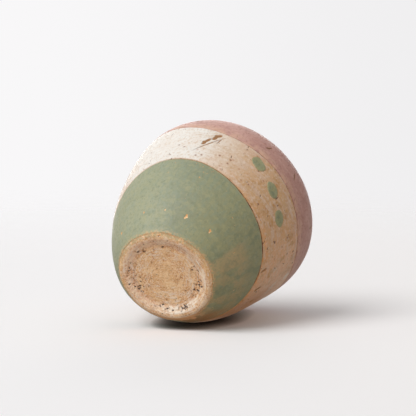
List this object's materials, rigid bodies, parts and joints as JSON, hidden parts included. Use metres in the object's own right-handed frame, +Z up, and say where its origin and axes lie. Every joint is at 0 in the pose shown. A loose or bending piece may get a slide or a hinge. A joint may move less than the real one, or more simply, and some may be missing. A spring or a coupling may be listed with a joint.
{
  "type": "yunomi",
  "caption": "Handleless stoneware tea cup with a rounded belly, drawn-in mouth, turned foot and slanting coats of green, cream and mauve slip.",
  "frame": {"origin": "centre of the foot's underside, on the plane that the cup stands on", "axes": "+Z up along the cup's axis towards the mouth; +X towards the middle of the side with the three dabs"},
  "size_m": [0.0838, 0.0843, 0.0733],
  "materials": {
    "bare_clay": "unglazed, turned, rough matt",
    "green_slip": "brushed slip under a thin satin glaze",
    "cream_slip": "brushed slip under a thin satin glaze, flecked and toasted",
    "mauve_slip": "iron-tinted slip under a thin satin glaze",
    "inner_glaze": "glossy pale glaze"
  },
  "bodies": {
    "root": {"clay_body": "bare_clay", "green_slip_coat": "green_slip", "cream_slip_coat": "cream_slip", "mauve_rim_coat": "mauve_slip", "inner_glaze": "inner_glaze", "green_dab_1": "green_slip", "green_dab_2": "green_slip", "green_dab_3": "green_slip"}
  },
  "joints": []
}
